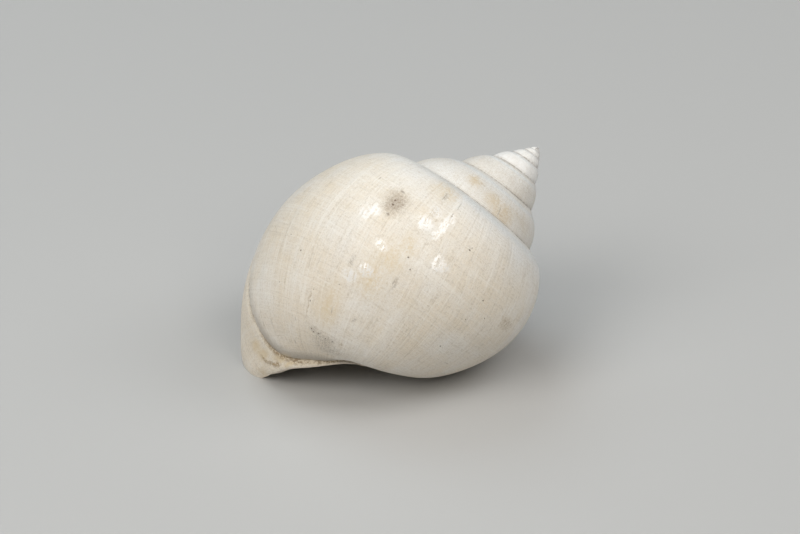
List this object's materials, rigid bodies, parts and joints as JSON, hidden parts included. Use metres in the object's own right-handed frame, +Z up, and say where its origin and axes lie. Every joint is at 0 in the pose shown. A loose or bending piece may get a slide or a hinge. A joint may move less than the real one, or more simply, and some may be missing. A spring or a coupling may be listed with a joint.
{
  "type": "fossil moon snail shell",
  "caption": "Fossil moon snail shell with a swollen body whorl, a short pointed spire and an open aperture, lying on its lip.",
  "frame": {"origin": "centre of the underside of the box around the shell, on the surface it rests on", "axes": "+Z up; +X along the longest way, towards the tip of the spire; +Y the other way across, away from the side on which the inner lip's groove shows"},
  "size_m": [0.0406, 0.0354, 0.0291],
  "materials": {
    "shell": "chalky cream, worn to a low gloss in patches"
  },
  "bodies": {
    "root": {"shell": "shell"}
  },
  "joints": []
}
